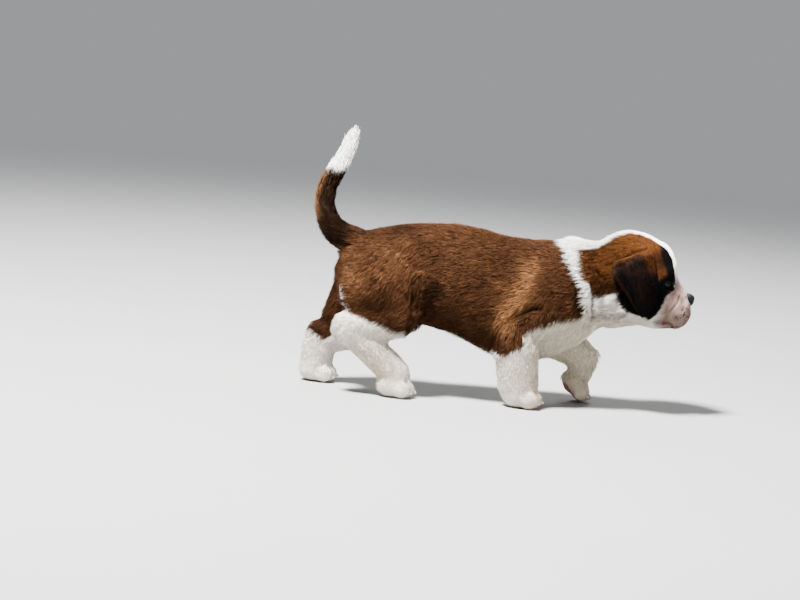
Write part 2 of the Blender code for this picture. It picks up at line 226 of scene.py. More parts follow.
def new_object(name, points, faces):
    """A mesh object of points in mm and faces, an array, or a list of arrays of faces of one size each."""
    groups = faces if isinstance(faces, list) else [faces]
    corners = np.concatenate([g.ravel() for g in groups]).astype(np.int32)
    sizes = np.concatenate([np.full(len(g), g.shape[1]) for g in groups])
    starts = np.concatenate([[0], np.cumsum(sizes)[:-1]]).astype(np.int32)
    mesh = bpy.data.meshes.new(name)
    mesh.vertices.add(len(points))
    set_points(mesh, points)
    mesh.loops.add(len(corners))
    mesh.loops.foreach_set("vertex_index", corners)
    mesh.polygons.add(len(sizes))
    mesh.polygons.foreach_set("loop_start", starts)
    mesh.update(calc_edges=True)
    mesh.validate()
    mesh.shade_smooth()
    return add_object(name, mesh)


def set_points(mesh, points):
    mesh.vertices.foreach_set("co", (points * MM).astype(np.float32).ravel())


def set_colours(mesh, colours):
    layer = mesh.color_attributes.new(name="marks", type="FLOAT_COLOR", domain="POINT")
    rgba = np.ones((len(colours), 4), np.float32)
    rgba[:, :3] = colours
    layer.data.foreach_set("color", rgba.ravel())


def apply_modifiers(made):
    evaluated = made.evaluated_get(bpy.context.evaluated_depsgraph_get())
    mesh = bpy.data.meshes.new_from_object(evaluated)
    made.modifiers.clear()
    made.data = mesh


def read(items, field, width, kind=np.int32):
    """A field of a mesh's items, with a row of the given width for each."""
    values = np.empty(len(items) * width, kind)
    items.foreach_get(field, values)
    return values.reshape(-1, width)


def mesh_points(mesh):
    return read(mesh.vertices, "co", 3, np.float32).astype(float) / MM


def mesh_edges(mesh):
    return read(mesh.edges, "vertices", 2)


def mesh_triangles(mesh):
    mesh.calc_loop_triangles()
    return read(mesh.loop_triangles, "vertices", 3)


def mesh_faces(mesh):
    """A mesh's faces, in an array for each number of corners."""
    sizes = read(mesh.polygons, "loop_total", 1)[:, 0]
    corners = read(mesh.loops, "vertex_index", 1)[:, 0]
    starts = np.concatenate([[0], np.cumsum(sizes)[:-1]])
    return [corners[starts[sizes == size][:, None] + np.arange(size)] for size in np.unique(sizes)]


def surface_tree(points, triangles):
    return BVHTree.FromPolygons([tuple(p) for p in points], [tuple(t) for t in triangles.tolist()])


def vertex_normals(points, triangles):
    a, b, c = (points[triangles[:, k]] for k in range(3))
    face = np.cross(b - a, c - a)
    total = np.zeros_like(points)
    for k in range(3):
        for axis in range(3):
            total[:, axis] += np.bincount(triangles[:, k], face[:, axis], len(points))
    return unit(total)


def neighbour_mean(values, edges):
    """The mean of the neighbours' values at each vertex; values has a row for each."""
    count = len(values)
    ends = np.concatenate([edges[:, 0], edges[:, 1]])
    others = np.concatenate([edges[:, 1], edges[:, 0]])
    degree = np.maximum(np.bincount(ends, minlength=count), 1)
    return np.stack([np.bincount(ends, column[others], count) / degree for column in values.T], axis=1)


def relax(points, edges, steps, keep_volume=True, share=1.0):
    """Smooths points over their edges; share is how much of each step a vertex takes."""
    share = np.asarray(share)[..., None] if np.ndim(share) else share
    for _ in range(steps):
        points = points + 0.5 * share * (neighbour_mean(points, edges) - points)
        if keep_volume:
            points = points - 0.52 * share * (neighbour_mean(points, edges) - points)
    return points


# Skin around the solids


def cad_surface(names):
    """One mesh of some CAD nodes, each grown a little, and the node of each of its triangles."""
    points, triangles, owner = [], [], []
    count = 0
    for number, name in enumerate(names):
        bm = bmesh.new()
        bm.from_mesh(nodes[name].data)
        bmesh.ops.remove_doubles(bm, verts=bm.verts, dist=MERGE)
        bmesh.ops.triangulate(bm, faces=bm.faces)
        bm.normal_update()
        bm.verts.index_update()
        co = np.array([v.co + v.normal * GROWTH * MM for v in bm.verts]) / MM
        faces = np.array([[v.index for v in f.verts] for f in bm.faces])
        bm.free()
        points.append(co)
        triangles.append(faces + count)
        owner.append(np.full(len(faces), number))
        count += len(co)
    return np.concatenate(points), np.concatenate(triangles), np.concatenate(owner)


def base_skin():
    """An object of the flesh, eyes and nose as one closed surface."""
    points, triangles, _owner = cad_surface([*FLESH, *EYES, "nose"])
    skin = new_object("skin", points, triangles)
    remesh = skin.modifiers.new("blend", "REMESH")
    remesh.mode = "VOXEL"
    remesh.voxel_size = VOXEL * MM
    apply_modifiers(skin)
    return skin


def refine(skin, choose):
    """Splits the skin's edges whose ends are both chosen."""
    bm = bmesh.new()
    bm.from_mesh(skin.data)
    bm.verts.ensure_lookup_table()
    chosen = choose(mesh_points(skin.data))
    edges = [e for e in bm.edges if chosen[e.verts[0].index] and chosen[e.verts[1].index]]
    bmesh.ops.subdivide_edges(bm, edges=edges, cuts=1, use_grid_fill=True)
    bm.to_mesh(skin.data)
    bm.free()


def coat_fields(points, edges):
    """Depth, length, width and area of the coat at each point, blended over the borders of the nodes."""
    cad_points, triangles, owner = cad_surface([*FLESH, *EARS])
    tree = surface_tree(cad_points, triangles)
    table = np.array([COAT[kind_of(n)] for n in FLESH] + [COAT["head"]] * len(EARS))
    nearest = np.array([tree.find_nearest(p)[2] for p in points])
    values = table[owner[nearest]]
    for _ in range(BLEND_STEPS):
        values = 0.5 * values + 0.5 * neighbour_mean(values, edges)
    return values


def node_box(name):
    """Centre and half sizes of a node's CAD box, in mm."""
    low, high = (np.array(v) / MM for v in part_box(name))
    return (low + high) / 2, (high - low) / 2


NOSE_CENTRE, NOSE_HALF = node_box("nose")
GAZE = (0.52, 0.85, 0.06)  # y to the side


def nose_ratio(points):
    """Under 1 in the nose's ellipsoid and over 1 outside."""
    return norm((points - NOSE_CENTRE) / NOSE_HALF)


def eye_frames():
    """For each eye: centre, radius, gaze, the way to the nose across the face, and up."""
    found = []
    for side, name in zip((-1, 1), EYES):
        centre, half = node_box(name)
        gaze = unit(np.multiply(GAZE, (1, side, 1)))
        ahead = unit((1, 0, 0) - gaze[0] * gaze)
        up = unit(np.cross(gaze, ahead) * side)
        up = up if up[2] > 0 else -up
        found.append((centre, half.mean(), gaze, ahead, up))
    return found


LID_LENGTH = 5.4  # half the opening
LID_UPPER = 2.9
LID_LOWER = 3.5
LID_DROOP = 0.16  # slope of the opening, outer corner down


def lid_opening(along, above):
    """Under 1 inside the eye's opening and over 1 outside; along is towards the nose."""
    above = above - LID_DROOP * along
    lengthwise = (along / LID_LENGTH) ** 2
    half = np.where(above > 0, LID_UPPER, LID_LOWER) * np.sqrt(np.clip(1.12 - lengthwise, 0.12, 1))
    return np.sqrt(lengthwise + (above / half) ** 2)


def round_eye(points, eye, reach):
    """Which points are at an eye, and for all of them the distance, the height and lid_opening."""
    centre, radius, gaze, ahead, up = eye
    offset = points - centre
    distance, above = norm(offset), offset @ up
    at_eye = (distance < reach * radius) & (offset @ gaze > 0)
    return at_eye, distance, above, lid_opening(offset @ ahead, above)


# Bumps of the skin: place with y to the side, reach, height
BUMPS = (
    ((228, 28, 198), 9, 2.2),  # brow, over the eye
    ((220, 26, 206), 12, 1.2),
    ((213, 40, 180), 11, 1.6),  # cheekbone, behind the eye
    ((239, 24, 177), 8, -1.6),  # under the inner corner of the eye
    ((248, 22, 141), 14, 1.8),  # flew
    ((263, 10, 144), 7, 1.8),  # whisker pad
    ((264, 0, 124), 10, -4.5),  # chin, behind the lips
    ((252, 12, 118), 8, -1.6),
    ((240, 8, 214), 8, 0.8),
    ((236, 0, 222), 7, -0.9),  # furrow of the forehead
    ((247, 0, 198), 8, -1.6),  # stop
    ((-90, 57, 164), 11, -2.6),  # flank before the thigh
    ((-90, 56, 144), 13, -4.6),
    ((-93, 52, 122), 12, -4.4),
    ((-124, 54, 128), 22, 3.6),  # knee
    ((-120, 57, 156), 14, 1.6),
    ((-178, 46, 150), 26, 1.5),  # back of the thigh
    ((22, 52, 108), 18, 3.0),  # elbow
    ((60, 50, 150), 22, 2.4),  # point of the shoulder
    ((30, 52, 190), 20, 1.4),  # shoulder blade
    ((-18, 54, 150), 16, -2.0),  # behind the shoulder
    ((90, 44, 116), 16, 2.0),  # breast
)
BOTH_SIDES_FROM = -80  # bumps behind this x are on the right side alone, where the thigh comes forward

MOUTH_LINE = (
    (270, 3, 140), (269, 6, 136), (266, 11, 130), (260, 17, 124),
    (251, 23, 120.5), (240, 27, 121.5), (230, 28, 126), (221, 29, 130),
)

# Creases of the skin: points with y to the side, width, depth
CREASES = (
    (((-120, 60, 165), (-122, 60, 146), (-119, 60, 126)), 2.4, 4.4),
    (((-112, 60, 172), (-111, 60, 152), (-113, 60, 131)), 2.6, 4.6),
    (((52, 54, 143), (22, 58, 126), (-1, 58, 103), (-14, 53, 80)), 4.2, 5.0),
    (((39, 57, 121), (14, 60, 103), (1, 60, 78)), 3.4, 4.0),
    (((105, 48, 178), (108, 48, 156), (115, 44, 136)), 3.4, 5.0),
    (((124, 47, 182), (130, 46, 158), (132, 38, 122)), 3.6, 4.0),
    (((133, 46, 200), (139, 47, 181), (144, 47, 164)), 3.6, 3.4),
    (((142, 47, 192), (151, 47, 168)), 3.2, 2.8),
    (((139, 42, 135), (156, 40, 133), (176, 38, 141)), 2.8, 3.4),
    (((150, 34, 122), (166, 32, 124), (184, 32, 128)), 2.6, 2.6),
    (((250, 22, 170), (245, 26, 160), (236, 30, 149)), 1.7, 0.6),
    (MOUTH_LINE, 1.5, 3.2),
    (((272, 0, 153), (271, 0, 146), (270, 0, 139)), 0.9, 1.8),
    (((199, 40, 236), (186, 42, 232), (170, 42, 222)), 2.2, 1.1),
)
RIGHT_ONLY = 2  # how many of the first creases are on the right side alone
MOUTH = 11  # the mouth's number among the creases

FRECKLES = 84
FRECKLE_RADII = (0.55, 1.15)
DARK_SPOTS = (((259, -15, 169), 1.4), ((259, 14, 171), 0.9))  # single larger freckles: place, radius


def skin_details(skin):
    """What markings and sculpt go by: the creases' lines laid on the skin, the toes and the freckles."""
    points = mesh_points(skin.data)
    tree = surface_tree(points, mesh_triangles(skin.data))
    laid = []
    for line, _width, _depth in CREASES:
        found = [tree.find_nearest((x, -y, z))[0] for x, y, z in spline(line, 5 * len(line))]
        laid.append(mirrored(np.array(found)))
    x, y, z = points.T
    dots = np.random.default_rng(FRECKLE_SEED)
    whiskered = np.exp(-(((x - 257) / 8) ** 2) - ((z - 147) / 9) ** 2)
    whiskered = whiskered * (np.abs(y) > 7) * (x > 240) * (z > 124)
    chosen = points[dots.choice(len(points), FRECKLES, replace=False, p=whiskered / whiskered.sum())]
    freckles = np.column_stack([chosen, dots.uniform(*FRECKLE_RADII, len(chosen))])
    spots = [(*tree.find_nearest(place)[0], radius) for place, radius in DARK_SPOTS]
    return {"creases": laid, "toes": toes(), "freckles": np.vstack([freckles, spots])}


# From the claw: the toe's front and knuckle, and the far end of the cleft beside it
TOE_DOWN = ((-3, 0, 3), (-11, 0, 12), (-23, 0, 18))
TOE_LIFTED = ((0, 0, 4), (-3, 0, 14), (-10, 0, 26))
CLEFT_START = (0, 0, -3)
TOE_RISE, TOE_REACH = 1.8, 5.0
CLEFT_DEPTH, CLEFT_REACH = 4.2, 2.0


def toes():
    """Lines along the toes, and along the clefts between them, on all paws."""
    along, between = [], []
    for limb in LIMBS:
        claws = [(np.array(low) + np.array(high)) / 2 / MM for low, high in map(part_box, claw_names(limb))]
        front, knuckle, far = TOE_LIFTED if limb == "foreleg_left" else TOE_DOWN
        along += [(c + front, c + knuckle) for c in claws]
        middles = [(a + b) / 2 for a, b in zip(claws, claws[1:])]
        between += [(m + CLEFT_START, m + knuckle, m + far) for m in middles]
    return along, between


def to_creases(points, details):
    """For each crease its distance from the points, its width and its depth."""
    at = mirrored(points)
    for number, (line, (_line, width, depth)) in enumerate(zip(details["creases"], CREASES)):
        missing = (points[:, 1] > 0) & (number < RIGHT_ONLY)
        yield line_distance(at, line) + 99 * missing, width, depth


def crease_shade(points, details):
    """Painted shade in the creases and in the clefts between the toes: 1 away from them."""
    shade = np.ones(len(points))
    for away, width, depth in to_creases(points, details):
        shade *= 1 - min(0.55, 0.13 * depth) * bell(away, 0.8 * width)
    low = points[:, 2] < 50
    cleft = np.ones(low.sum())
    for line in details["toes"][1]:
        cleft *= 1 - 0.5 * bell(line_distance(points[low], line), 1.7)
    shade[low] *= cleft
    return shade


def sculpt(points, normals, details):
    """Moves the skin's points: bumps, creases, toes, the nose's bed and the lids round the eyes."""
    amount = np.zeros(len(points))
    for place, reach, height in BUMPS:
        there = (points[:, 1] < 0) | (place[0] > BOTH_SIDES_FROM)
        amount += height * there * near(points, place, reach)
    for away, width, depth in to_creases(points, details):
        amount -= depth * bell(away, width)
        amount += 0.35 * depth * bell(away - 2.2 * width, 1.2 * width)
    points = points + normals * amount[:, None]

    toe_lines, cleft_lines = details["toes"]
    amount = sum(TOE_RISE * bell(line_distance(points, line), TOE_REACH) for line in toe_lines)
    amount -= sum(CLEFT_DEPTH * bell(line_distance(points, line), CLEFT_REACH) for line in cleft_lines)
    points = points + normals * np.clip(amount, -5, 2.2)[:, None]
    points = points - normals * (2.0 * step(1.12, 0.95, nose_ratio(points)))[:, None]
    for eye in eye_frames():
        centre, radius = eye[:2]
        at_eye, distance, above, opening = round_eye(points, eye, 2.2)
        lid = radius + 0.4 - 0.5 * np.clip(opening - 1.5, 0, 2)
        target = np.where(opening < 1, radius - 1.6, lid)
        share = np.where(at_eye, 1 - step(1.5, 2.9, opening), 0)
        fold = bell(opening - 2.1, 0.28) * step(-0.5, 1.5, above) * at_eye
        moved = mix(distance - 0.9 * fold, target, share)
        points = centre + unit(points - centre) * moved[:, None]
    return points


# Markings, in linear colours
BROWN = np.array((0.059, 0.0248, 0.0108))
GOLD = np.array((0.340, 0.155, 0.062))
TAWNY = np.array((0.112, 0.039, 0.010))
UMBER = np.array((0.031, 0.0125, 0.0055))
SABLE = np.array((0.010, 0.0058, 0.0032))
RUST = np.array((0.098, 0.034, 0.0085))
BLACK = np.array((0.0025, 0.0022, 0.0022))
WHITE = np.array((0.86, 0.84, 0.80))
CREAM = np.array((0.60, 0.51, 0.37))
PINK = np.array((0.27, 0.135, 0.102))
EAR_DARK = (0.0035, 0.0022, 0.0020)
# Painted sheen on the ear's dark hair
EAR_SHEEN = (0.016, 0.0085, 0.0065)
EAR_UPPER = (0.030, 0.016, 0.012)
IRIS = np.array((0.050, 0.020, 0.008))
EYE_WHITE = (0.42, 0.30, 0.26)
PUPIL = (0.002, 0.002, 0.002)
NOSE_BLACK = (0.005, 0.0046, 0.005)
HORN = (0.50, 0.38, 0.31)

# Outlines of the markings on the right side, as x and z
HEAD_PATCH = (
    (117, 240), (108, 223), (109, 206), (115, 186), (131, 164), (147, 164), (161, 169), (166, 158),
    (177, 146), (196, 139), (205, 136), (210, 136), (218, 143), (224, 152), (230, 164), (235, 173),
    (240, 178), (241, 188), (243, 196), (247, 215), (247, 300), (116, 300),
)
MASK = (
    (216, 190), (222, 191.5), (228, 197.5), (228, 205), (224, 212), (221.5, 219), (219, 228), (215, 238),
    (208, 248), (262, 248), (262, 118), (150, 118), (157, 162), (164, 172), (185, 180), (205, 186),
)
BODY_BROWN = (
    (76, 300), (78, 235), (87, 219), (98, 201), (112, 177), (120, 157), (123, 139), (116, 130), (98, 127),
    (82, 125), (64, 120), (44, 112), (35, 104), (35, 90), (31, 86), (23, 83), (15, 74), (6, 73), (-4, 80),
    (-20, 30), (-88, 30), (-106, 94), (-118, 92), (-138, 94), (-163, 101), (-187, 109), (-205, 114),
    (-216, 118), (-300, 118), (-300, 300),
)

# Edges of the markings, as z and x
COLLAR_REAR = ((120, 121), (156, 120), (177, 112), (203, 98), (222, 86), (236, 77))
THIGH_LINE = ((112, -203), (125, -212), (150, -220), (162, -225))  # a thin white line
TAIL_LINE = ((229, -242), (252, -252), (276, -252), (295, -245), (311, -236), (329, -228), (346, -223))

# Edges of the markings, as x and z, and the blaze's half width at each x
LEFT_WHITE = (
    (-262, 75), (-238, 64), (-205, 86), (-190, 94), (-90, 94),
    (-85, 30), (-10, 30), (5, 84), (70, 116), (120, 128),
)
GROIN = ((-200, 116), (-150, 114), (-120, 92), (-90, 84))
BLAZE = (
    (100, 25), (118, 18), (132, 15), (160, 11.5), (185, 10.5),
    (205, 11), (222, 12.5), (236, 14.5), (244, 22),
)
# Painted shadow on the right flank in front of the thigh
PAINTED_FLANK_SHADOW = ((-87, -56, 158), (-88, -55, 140), (-92, -50, 112))
# A band of lighter hair along the shoulder, partly painted highlight
SHOULDER_PALE_HAIR_AND_HIGHLIGHT = ((52, 50, 212), (34, 55, 170), (8, 57, 112))

# Lighter places of the brown, lighter hair and partly painted highlight: place with y to the side, reach,
# share of gold
PALE_HAIR_AND_HIGHLIGHTS_ON_BROWN = (
    ((-195, 48, 160), 26, 0.28),
    ((-150, 55, 185), 34, 0.30),
    ((20, 57, 92), 14, 0.30),
    ((-60, 26, 238), 46, 0.06),
)


def edge(value):
    """0 under an edge of the markings and 1 over it."""
    return step(-1.5, 1.5, value)


def on_thigh_line(x, out, z, width):
    """1 within a width of the thin white line behind the thigh."""
    across = np.abs(x - curve(THIGH_LINE, z))
    return step(1.5 * width, 0.6 * width, across) * (z > 112) * (z < 162) * (out > 34)


def freckled(points, freckles):
    """1 in the dark freckles of the muzzle."""
    found = np.zeros(len(points))
    chosen = points[:, 0] > 236
    away = norm(points[chosen][:, None] - freckles[None, :, :3]) / freckles[:, 3]
    found[chosen] = np.max(step(1.3, 0.7, away), axis=1)
    return found


def markings(points, details):
    """The coat's colour at each point."""
    x, y, z = points.T
    x = x + 2.0 * noise(points, 9, 11) + 1.5 * noise(points, 3.5, 12) + 0.6 * noise(points, 2, 13)
    z = z + 2.0 * noise(points, 8, 14) + 1.4 * noise(points, 3, 15)
    out = np.abs(y) + 1.5 * noise(points, 6, 16)

    # Brown body: lighter over the shoulder and the thigh, partly painted highlight, darker along the back,
    # on the croup and low down, and painted shadow on the flank in front of the right thigh
    patchy = noise(points, 34, 21) * 0.6 + noise(points, 13, 22) * 0.4
    streaks = noise(points * (0.35, 1, 1), 4, 27)
    # Lighter hair over the shoulder, the elbow, the thigh and the back, partly painted highlight
    light = 0.95 * bell(line_distance(mirrored(points), SHOULDER_PALE_HAIR_AND_HIGHLIGHT), 13)
    for place, reach, share in PALE_HAIR_AND_HIGHLIGHTS_ON_BROWN:
        light = np.maximum(light, share * near(points, place, reach))
    colour = layered(
        BROWN,
        (GOLD, 0.15 * step(-0.1, 0.9, patchy)),
        (UMBER, 0.5 * step(0.0, -0.9, patchy)),
        (UMBER, 0.35 * step(0.1, 0.8, noise(points * (0.5, 1, 1), 5, 30))),
        (GOLD, light * (0.75 + 0.25 * streaks)),
        (UMBER, 0.55 * step(222, 246, z) * step(110, 80, x)),
        (UMBER, 0.75 * step(128, 92, z) * step(30, -10, x)),
        (UMBER, 0.65 * near(points, (-165, 58, 130), 24)),
        # Painted shadow on the flank in front of the thigh
        (SABLE, 0.95 * bell(line_distance(points, PAINTED_FLANK_SHADOW), 14)),
        (SABLE, 0.75 * step(-150, -200, x) * step(208, 224, z)),
        (UMBER, 0.75 * step(-80, -150, x) * step(216, 236, z)),
        (SABLE, 0.45 * step(-60, -140, x) * step(224, 242, z)),
    )

    # Tail: sable, with light hair along its rear, partly painted highlight, and a white tip
    tail = step(-204, -216, x) * step(196, 206, z)
    # Lighter hair along the tail's rear edge, partly painted highlight
    fringe_and_highlight = tail * step(3, 12, curve(TAIL_LINE, z) - x) * step(218, 250, z)
    sable = mix(SABLE * 0.7, UMBER, 0.15 + 0.2 * noise(points, 6, 23))
    colour = layered(colour, (sable, tail), (GOLD, 0.25 * fringe_and_highlight))
    tip = tail * edge(z - 298 - 0.1 * (x + 242))

    # White collar, breast, belly and legs
    right = edge(inside(x, z, BODY_BROWN))
    belly = step(16, 10, out) * step(97, 91, z) * step(-200, -190, x)
    left = edge(np.minimum(z - curve(LEFT_WHITE, x), curve(COLLAR_REAR, z) - x))
    brown = mix(right, left, step(-3, 3, y))
    behind = np.where(y < 0, step(-232, -226, x), step(-196, -188, x))
    inner = step(28, 22, out) * step(6, -2, z - curve(GROIN, x)) * behind * step(-80, -90, x)
    stripe = on_thigh_line(x, out, z, 1.0) * (y < 0)
    legs = np.max([1 - brown, belly, inner, stripe, step(60, 56, z)], axis=0)
    white = np.maximum(tip, np.where(tail > 0.5, 0, legs))

    # Head: the brown patch, the black mask and the blaze
    face = layered(
        mix(RUST, UMBER, 0.42 + 0.28 * noise(points, 10, 24) + 0.22 * noise(points, 4, 31)),
        (TAWNY, 0.8 * step(135, 190, x) * step(210, 226, z) * (0.8 + 0.2 * streaks)),
        (UMBER, 0.5 * step(150, 125, x) * step(0.1, -0.5, noise(points, 8, 28))),
        (UMBER, 0.35 * step(0.0, 0.7, noise(points * (0.4, 1, 1), 4, 33))),
        (UMBER * 0.5, 0.95 * near(points, (219, 29, 215), 14)),
        # Painted shadow under the ear's rear edge
        (SABLE * 0.6, 0.95 * near(points, (164, 42, 181), 15)),
        (BLACK, step(-1.2, 1.8, inside(x, z, MASK))),
    )
    blaze = edge(curve(BLAZE, x) - out) * step(95, 105, x) * step(170, 180, z)
    on_head = edge(inside(x, z, HEAD_PATCH)) * (1 - blaze)
    white = white * (1 - on_head)

    # White hair, cream in patches and darker cream low on the breast, the throat and the hind legs as
    # painted shade, and pink skin that shows through on the muzzle, darker low down as painted shade, with
    # freckles
    pale = layered(
        WHITE,
        (CREAM, 0.30 * step(0.0, 0.9, noise(points, 12, 25))),
        # Darker cream low on the breast, the throat and the hind legs: painted shade
        (CREAM, 0.75 * step(175, 120, z) * step(20, 60, x) * step(225, 205, x)),
        (CREAM, 0.45 * step(110, 60, z) * step(-215, -190, x)),
        (CREAM, 0.45 * step(118, 96, z) * step(-110, -150, x)),
    )
    bare = step(212, 234, x) * step(198, 182, z) * white
    lip = bell(line_distance(mirrored(points), details["creases"][MOUTH]), 1.3)
    colour = layered(
        colour,
        (face, on_head),
        (pale, np.clip(white, 0, 1)),
        (PINK, (0.84 + 0.12 * noise(points, 7, 29)) * bare),
        # Darker pink low on the muzzle: painted shade
        (PINK * 0.62, 0.5 * bare * step(160, 135, z)),
        (BLACK * 10, 0.85 * freckled(points, details["freckles"])),
        (BLACK * 6, 0.85 * lip),
        (BLACK * 2, step(1.04, 0.96, nose_ratio(points))),
    )
    # Painted shade in the creases and the clefts between the toes
    return colour * crease_shade(points, details)[:, None]


def pads(points, normals):
    """1 on the soles and on the underside of the lifted paw, which are bare and pink."""
    sole = step(2.2, 1.2, points[:, 2]) * step(-0.3, -0.6, normals[:, 2])
    x, y, z = points.T
    lifted = (x > 88) & (x < 136) & (y > 20) & (z < 34)
    heel = step(0.45, 0.75, normals @ unit((-0.75, 0, -0.66))) * lifted
    return np.maximum(sole, heel)


# Ears, from the top down: rear edge's x and z, front edge's x and z, how far out
EAR = (
    (160, 203, 193, 213, 33),
    (154, 212, 199, 230, 41),
    (149, 207, 206, 227, 46.5),
    (148, 198, 211, 208, 50),
    (155, 188, 215, 190, 52),
    (166, 176, 216.5, 172, 53),
    (178, 160, 213, 155, 53),
    (191, 144, 204, 143, 51),
)
EAR_ROWS = 44
EAR_COLUMNS = 30
EAR_THICKNESS = 2.5
EAR_LEAN = 5  # how much closer to the face its front edge lies


def grid_quads(number):
    """Faces between the neighbours in a grid of point numbers."""
    corners = [number[:-1, :-1], number[:-1, 1:], number[1:, 1:], number[1:, :-1]]
    return np.stack(corners, axis=-1).reshape(-1, 4)


def ear_surface(side):
    """Points and faces of an ear: a crowned, rumpled flap with a rolled rear edge, closed round its rim."""
    rows = spline(EAR, EAR_ROWS)
    down = np.linspace(0, 1, EAR_ROWS)[:, None]
    share = np.linspace(0.02, 0.98, EAR_COLUMNS)[None, :]
    rear, front, out = rows[:, None, 0:2], rows[:, None, 2:4], rows[:, 4][:, None]
    flat = rear + (front - rear) * share[..., None]
    flat[..., 1] -= 5 * share**5 * bell(down - 0.16, 0.12)
    crown = 3.5 * np.sin(math.pi * share) - 3.5 - EAR_LEAN * share**2
    fold = bell(down - 0.24, 0.10)
    rumple = (1.6 * np.sin(share * 9 + down * 24) + 1.1 * np.sin(share * 17 - down * 34 + 1)) * fold
    waves = 0.7 * np.sin(share * 7 + 0.5) * step(0.4, 0.8, down)
    middle = step(0.36, 0.5, down) * step(0.95, 0.78, down)
    roll = (2.6 * bell(share - 0.04, 0.09) - 1.8 * bell(share - 0.22, 0.07)) * middle
    tuck = 9 * step(0.36, 0.08, down) * share**1.5 + 1.5 * share**3
    y = side * (out + crown + rumple + waves + roll - tuck)
    centre = np.stack([flat[..., 0], y, flat[..., 1]], axis=-1)
    normal = unit(np.cross(np.gradient(centre, axis=0), np.gradient(centre, axis=1)))
    normal *= np.sign((normal[..., 1] * side).mean())
    rim = np.minimum(1, 4.5 * np.minimum(share, 1 - share)) * np.minimum(1, 5 * (1 - down) + 0.02)
    half = (EAR_THICKNESS / 2) * np.sqrt(np.clip(rim, 0.05, 1))[..., None]
    outer, inner = centre + normal * half, centre - normal * half
    points = np.concatenate([outer.reshape(-1, 3), inner.reshape(-1, 3)])
    number = np.arange(EAR_ROWS * EAR_COLUMNS).reshape(EAR_ROWS, EAR_COLUMNS)
    quads = grid_quads(number)
    back = quads[:, ::-1] + number.size
    rim_line = np.concatenate([number[0, :], number[1:, -1], number[-1, -2::-1], number[-2:0:-1, 0]])
    following = np.roll(rim_line, -1)
    between = np.stack([following, rim_line, rim_line + number.size, following + number.size], axis=-1)
    faces = np.concatenate([quads, back, between])
    return points, faces[:, ::-1] if side < 0 else faces


def ear_colours():
    """Colours of one face of an ear, by its rows and columns: brown crest and front, dark below, with
    painted sheen in the middle, painted shade in the crest's wrinkles and a painted shadow in the pocket by
    the rolled rear edge.
    """
    down = np.repeat(np.linspace(0, 1, EAR_ROWS), EAR_COLUMNS)
    share = np.tile(np.linspace(0, 1, EAR_COLUMNS), EAR_ROWS)
    place = np.column_stack([share * 60, down * 90, share * 0])
    streak = noise(place * (1, 0.22, 1), 3.0, 41)
    # A band of painted sheen in the middle of the ear
    middle = bell(share - 0.55, 0.25) * step(0.3, 0.45, down) * step(0.95, 0.75, down)
    # Painted shade in the wrinkles of the crest
    wrinkle_shade = step(-0.1, 0.5, np.sin(down * 75 + share * 7 + 2.0 * noise(place, 12, 42)))
    crest = mix(mix(RUST, TAWNY, 0.5), SABLE, 0.55 * wrinkle_shade * step(0.10, 0.18, down))
    strip = step(0.78, 0.90, share + 0.06 * streak) * step(0.52, 0.40, down)
    # Painted shadow in the pocket under the rolled rear edge
    pocket_shadow = bell(share - 0.2, 0.07) * step(0.36, 0.5, down) * step(0.92, 0.75, down)
    return layered(
        EAR_DARK,
        (EAR_SHEEN, (0.55 + 0.45 * streak) * middle),
        (EAR_UPPER, 0.55 * (step(0.2, 0.3, down) * step(0.55, 0.42, down))),
        (crest, step(0.38, 0.20, down + 0.08 * noise(place, 10, 43) + 0.04 * share)),
        (TAWNY * 0.75, 0.85 * strip),
        (BLACK, 0.9 * pocket_shadow),
        (UMBER, 0.6 * (step(0.10, 0.04, share) * step(0.3, 0.4, down))),
    )


def lid_rims():
    """Points and faces of dark rims round the openings of the eyes, each a swept ring."""
    points, faces = [], []
    sides, rounds = 8, 64
    halvings, rim_radius, off_ball = 24, 0.5, 0.25
    angle, around = (np.linspace(0, 2 * math.pi, n, endpoint=False)[:, None] for n in (rounds, sides))
    for centre, radius, gaze, ahead, up in eye_frames():
        low, high = np.full_like(angle, 0.5), np.full_like(angle, 12.0)
        for _ in range(halvings):
            middle = (low + high) / 2
            within = lid_opening(middle * np.cos(angle), middle * np.sin(angle)) < 1
            low, high = np.where(within, middle, low), np.where(within, high, middle)
        a, b = low * np.cos(angle), low * np.sin(angle)
        c = np.sqrt(np.maximum((radius + off_ball) ** 2 - a * a - b * b, 0.1))
        ring = centre + a * ahead + b * up + c * gaze
        along = unit(np.roll(ring, -1, axis=0) - np.roll(ring, 1, axis=0))
        outward = unit(ring - centre)
        across = np.cross(along, outward)
        tube = np.cos(around) * across[:, None] + np.sin(around) * outward[:, None]
        number = np.arange(rounds * sides).reshape(rounds, sides) + sum(len(p) for p in points)
        points.append((ring[:, None] + rim_radius * tube).reshape(-1, 3))
        faces.append(grid_quads(np.pad(number, (0, 1), mode="wrap")))
    return np.concatenate(points), np.concatenate(faces)


def blend_coat(points, fields):
    """Longer hair on the back of the head, where it meets the neck's."""
    share = 0.8 * step(192, 150, points[:, 0]) * (points[:, 0] > 140)
    share = (share * (fields[:, 1] < COAT["neck"][1]))[:, None]
    return fields * (1 - share) + np.array(COAT["neck"]) * (0.8, 0.8, 0.95, 0.95) * share


